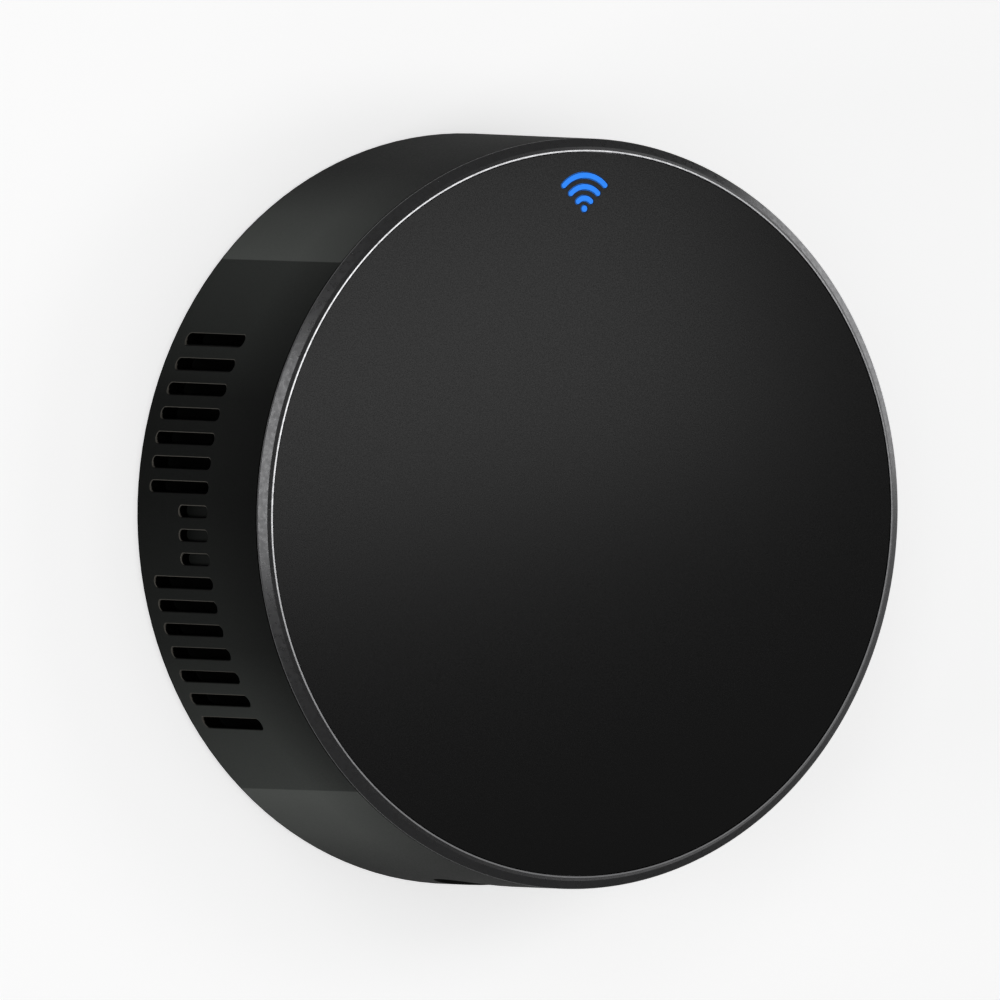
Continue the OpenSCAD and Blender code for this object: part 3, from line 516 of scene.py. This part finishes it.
def turned(section_mm):
    bm = bmesh.new()
    corners = [bm.verts.new((r * MM, 0, z * MM)) for r, z in section_mm]
    edges = [bm.edges.new((a, b)) for a, b in zip(corners, corners[1:] + corners[:1])]
    bmesh.ops.spin(
        bm, geom=corners + edges, cent=(0, 0, 0), axis=(0, 0, 1), angle=math.tau,
        steps=TURN_STEPS, use_merge=True,
    )
    bmesh.ops.recalc_face_normals(bm, faces=bm.faces)
    return bm


def soften(bm, edges, width_mm, overlap=True):
    bmesh.ops.bevel(
        bm, geom=edges, offset=width_mm * MM, offset_type="OFFSET", segments=2,
        profile=0.5, affect="EDGES", material=-1, clamp_overlap=overlap,
    )
    return len(edges)


def ring_edges(bm, ring_mm):
    """The edges of one whole ring, which is named by its radius and height."""
    def on_ring(vert):
        place = (math.hypot(vert.co.x, vert.co.y) / MM, vert.co.z / MM)
        return math.dist(place, ring_mm) < SAME_PLACE

    return [edge for edge in bm.edges if all(on_ring(vert) for vert in edge.verts)]


print("one step of the circle:", round(math.tau * WALL_R / MM / TURN_STEPS, 2), "mm")

# %% Bezel section
SEAT_IN = 31.2
SEAT_OUT = 32.45
LIP_DROP = 0.1
FACE_OVER_EDGE = 0.7
TAPE = 0.2
CHAMFER_RUN = 0.73
CHAMFER_RISE = 0.46
BEAD_GAP = 0.09
BEAD_WIDTH = 0.15

ring_low, ring_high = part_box("bezel_ring")
face_low, face_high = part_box("face_panel")
ring_r = ring_high.x / MM
seat_z = ring_low.z / MM
crown_z = ring_high.z / MM
deck_z = face_low.z / MM - TAPE
edge_z = face_high.z / MM - FACE_OVER_EDGE
chamfer = (ring_r - CHAMFER_RUN, edge_z + CHAMFER_RISE)
bead_in = face_high.x / MM + BEAD_GAP
bead_out = bead_in + BEAD_WIDTH
section = [
    (SEAT_IN, seat_z), (SEAT_OUT, seat_z), (SEAT_OUT, edge_z - LIP_DROP), (ring_r, edge_z - LIP_DROP),
    (ring_r, edge_z), chamfer, (bead_out, crown_z), (bead_in, crown_z), (bead_in, deck_z),
    (SEAT_IN, deck_z),
]
print("section:", len(section), "corners,", round(crown_z - seat_z, 2), "mm high")

# %% Bezel ring
CROWN_ROUND = 0.02
EDGE_ROUND = 0.05
HAIR = 0.002
BEZEL_SHARP = math.radians(12)
FLAT_WEIGHT = 90

bezel_bm = turned(section)
rounded = soften(bezel_bm, ring_edges(bezel_bm, (bead_out, crown_z)), CROWN_ROUND)
rounded += soften(bezel_bm, ring_edges(bezel_bm, (ring_r, edge_z)), EDGE_ROUND)
for face in bezel_bm.faces:
    middle = face.calc_center_median()
    inside = math.hypot(middle.x, middle.y) / MM < bead_out + HAIR
    face.material_index = int(inside and middle.z / MM > chamfer[1])
    face.smooth = True
bezel = new_piece("bezel_turned", bezel_bm, bezel_finish, bead_finish)
bezel.data.set_sharp_from_angle(angle=BEZEL_SHARP)
flat_first = bezel.modifiers.new("flat faces first", "WEIGHTED_NORMAL")
flat_first.keep_sharp = True
flat_first.weight = FLAT_WEIGHT
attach(bezel, "hub")
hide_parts("bezel_ring")
print("bezel:", len(bezel.data.polygons), "faces,", rounded, "edges rounded")

# %% [markdown]
# ## The symbol with its shadow line
# Each arc of the symbol lies in a cut of the face with a hair of room, so a thin dark line goes round
# it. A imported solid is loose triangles, so a copy of the lens is merged and its flat faces are joined
# first. Then its crowns get an inset, and the narrow strip around each crown is dark.

# %% Signal lens
MERGE_DISTANCE = 0.0004 * MM
FLAT_ANGLE = math.radians(0.4)
SHADOW_LINE = 0.045 * MM
CROWN_DEPTH = 0.01 * MM
LEVEL = 0.99


def merged_copy(node_name):
    bm = bmesh.new()
    bm.from_mesh(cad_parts[node_name].data)
    bmesh.ops.remove_doubles(bm, verts=bm.verts, dist=MERGE_DISTANCE)
    bmesh.ops.dissolve_limit(bm, angle_limit=FLAT_ANGLE, verts=bm.verts, edges=bm.edges)
    return bm


lens_bm = merged_copy("signal_lens")
near_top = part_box("signal_lens")[1].z - CROWN_DEPTH
crowns = [f for f in lens_bm.faces if f.normal.z > LEVEL and f.calc_center_median().z > near_top]
inset = bmesh.ops.inset_region(lens_bm, faces=crowns, thickness=SHADOW_LINE, use_even_offset=True)
for face in inset["faces"]:
    face.material_index = 1
lens = new_piece("signal_symbol", lens_bm, symbol_finish, shadow_finish)
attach(lens, "hub")
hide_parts("signal_lens")
print("symbol:", len(crowns), "crowns,", len(inset["faces"]), "strip faces")

# %% [markdown]
# ## The wall with softened slot edges
# A moulded slot never has a knife edge. A merged copy of the wall gets its slot rims rounded with a
# bevel, and the fine round then catches the light as the real one does.

# %% Slot rims
RIM_ROUND = 0.1
RIM_ANGLE = math.radians(35)
RIM_REACH = 0.03 * MM
RIM_SLACK = 0.1 * MM

shell_bm = merged_copy("housing_shell")


def on_vent_rim(edge):
    if len(edge.link_faces) != 2 or edge.calc_face_angle() < RIM_ANGLE:
        return False
    for vert in edge.verts:
        off_wall = abs(math.hypot(vert.co.x, vert.co.y) - WALL_R)
        if off_wall > RIM_REACH or vert.co.x > VENT_SIDE:
            return False
        if not VENT_LOW < vert.co.z < VENT_HIGH + RIM_SLACK:
            return False
    return True


vent_rims = [edge for edge in shell_bm.edges if on_vent_rim(edge)]
rounded = soften(shell_bm, vent_rims, RIM_ROUND, overlap=False)
print("slot rims:", rounded, "edges rounded")

# %% [markdown]
# ## The wall's shading
# The wall is many flat faces. Edges that turn by 30 degrees or more stay sharp, and the rest shade as
# one. On the outer wall the shading takes the directions of a true cylinder, so no flat face shows.

# %% Housing wall
SHARP_ANGLE = math.radians(30)
WALL_REACH = 0.05 * MM
LOOKS_OUT = 0.998

shell_bm.normal_update()
for face in shell_bm.faces:
    face.smooth = True
for edge in shell_bm.edges:
    edge.smooth = edge.calc_face_angle(0) < SHARP_ANGLE
shell = new_piece("housing_moulded", shell_bm, wall_finish)


def wall_normals(mesh):
    """The mesh's own normals, but those of a true cylinder on the outer wall."""
    normals = [Vector(corner.vector) for corner in mesh.corner_normals]
    for face in mesh.polygons:
        outwards = Vector((face.center.x, face.center.y, 0))
        if outwards.length < WALL_R - WALL_REACH or face.normal.dot(outwards.normalized()) < LOOKS_OUT:
            continue
        for corner in face.loop_indices:
            point = mesh.vertices[mesh.loops[corner].vertex_index].co
            normals[corner] = Vector((point.x, point.y, 0)).normalized()
    return normals


shell.data.normals_split_custom_set(wall_normals(shell.data))
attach(shell, "hub")
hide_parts("housing_shell")
print("wall:", len(shell.data.polygons), "faces")

# %% [markdown]
# ## The floor
# The hub stands on a plain white floor. More light would make the floor white and the hub grey, so the
# floor shines a little by itself instead, for the camera and through glass. Light Path tells which ray
# asks. Metal mirrors a fifth of that shine: the real bezel shows little of the white around it. The
# hub's shadow stays on the floor.

# %% Floor
FLOOR_HALF = 900 * MM
FLOOR_WHITE = 0.82
FLOOR_LIFT = 0.65
MIRRORED_SHARE = 0.2


def seen_directly(tree):
    """One for the camera's rays, straight or through glass, and zero for all others."""
    paths = tree.nodes.new("ShaderNodeLightPath").outputs
    return maths(tree, "MAXIMUM", paths["Is Camera Ray"], paths["Is Transmission Ray"])


def floor_material():
    material, tree, shader = start_material("floor_white")
    shader.inputs["Base Color"].default_value = (FLOOR_WHITE, FLOOR_WHITE, FLOOR_WHITE, 1)
    shader.inputs["Roughness"].default_value = 1.0
    shader.inputs["Specular IOR Level"].default_value = 0.0
    shader.inputs["Emission Color"].default_value = (1, 1, 1, 1)
    glossy_ray = tree.nodes.new("ShaderNodeLightPath").outputs["Is Glossy Ray"]
    mirrored = maths(tree, "MULTIPLY", glossy_ray, MIRRORED_SHARE)
    share = maths(tree, "MAXIMUM", seen_directly(tree), mirrored)
    feed(tree, shader.inputs["Emission Strength"], maths(tree, "MULTIPLY", share, FLOOR_LIFT))
    return material


floor_bm = bmesh.new()
bmesh.ops.create_grid(floor_bm, x_segments=1, y_segments=1, size=FLOOR_HALF)
floor = new_piece("floor", floor_bm, floor_material())
print("floor:", round(2 * FLOOR_HALF, 2), "m wide")

# %% [markdown]
# ## The world
# The air around gives a weak light from all sides, so that no edge is quite lost. Above the horizon the
# camera sees it as white. The satin face mirrors no white in the photograph, so it meets the weak light.

# %% World
WORLD_LIGHT = 0.1
WORLD_WHITE = 1.0
world = bpy.data.worlds.new("studio")
world.use_nodes = True
bpy.context.scene.world = world
air = world.node_tree
background = air.nodes["Background"]
background.inputs["Color"].default_value = (1, 1, 1, 1)
strength = spread(air, seen_directly(air), WORLD_LIGHT, WORLD_WHITE, 0, 1)
feed(air, background.inputs["Strength"], strength)
print("world light:", WORLD_LIGHT)

# %% [markdown]
# ## The lamps
# A glossy black object shows its lamps more than its colour, so each lamp has one surface to serve. The
# ceiling lamp lights the floor. The face lamp stands where the face mirrors it as a soft glow, with a
# weak fill behind it. The bezel lamp is by the camera, for the bezel's left half, and the side lamp is
# low on the right, for its right half. The left lamp lights the wall with the vents. It isn't mirrored,
# because from the other side of the hub it would turn the face white.

# %% Lamps
AIM = Vector((0, 0, 12 * MM))
LAMPS = {
    "ceiling_lamp": ((-30, 0, 520), (260, 260), 1.1),
    "face_lamp": ((50, 13, 137), (34, 62), 2.1),
    "face_fill": ((90, -5, 150), (90, 120), 0.2),
    "bezel_lamp": ((-212, 60, 353), (260, 80), 2.0),
    "side_lamp": ((200, 66, 27), (120, 50), 1.7),
    "left_lamp": ((-400, -70, 64), (160, 110), 13),
}
UNMIRRORED = "left_lamp"


def softbox(name, place_mm, size_mm, radiance):
    """A flat lamp that looks at the hub. Its light grows with its area, so its brightness is given."""
    lamp = bpy.data.lights.new(name, "AREA")
    lamp.shape = "RECTANGLE"
    lamp.size = size_mm[0] * MM
    lamp.size_y = size_mm[1] * MM
    lamp.energy = radiance * math.pi * lamp.size * lamp.size_y
    holder = bpy.data.objects.new(name, lamp)
    bpy.context.scene.collection.objects.link(holder)
    holder.location = Vector(place_mm) * MM
    holder.rotation_mode = "QUATERNION"
    holder.rotation_quaternion = (AIM - holder.location).to_track_quat("-Z", "Y")
    holder.visible_camera = False
    holder.visible_glossy = name != UNMIRRORED
    print(name, "gives", round(lamp.energy, 3), "W")


for lamp_name, (place_mm, size_mm, radiance) in LAMPS.items():
    softbox(lamp_name, place_mm, size_mm, radiance)

# %% [markdown]
# ## The end
# The view is set to plain colours.

# %% Finish
bpy.context.scene.view_settings.view_transform = "Standard"
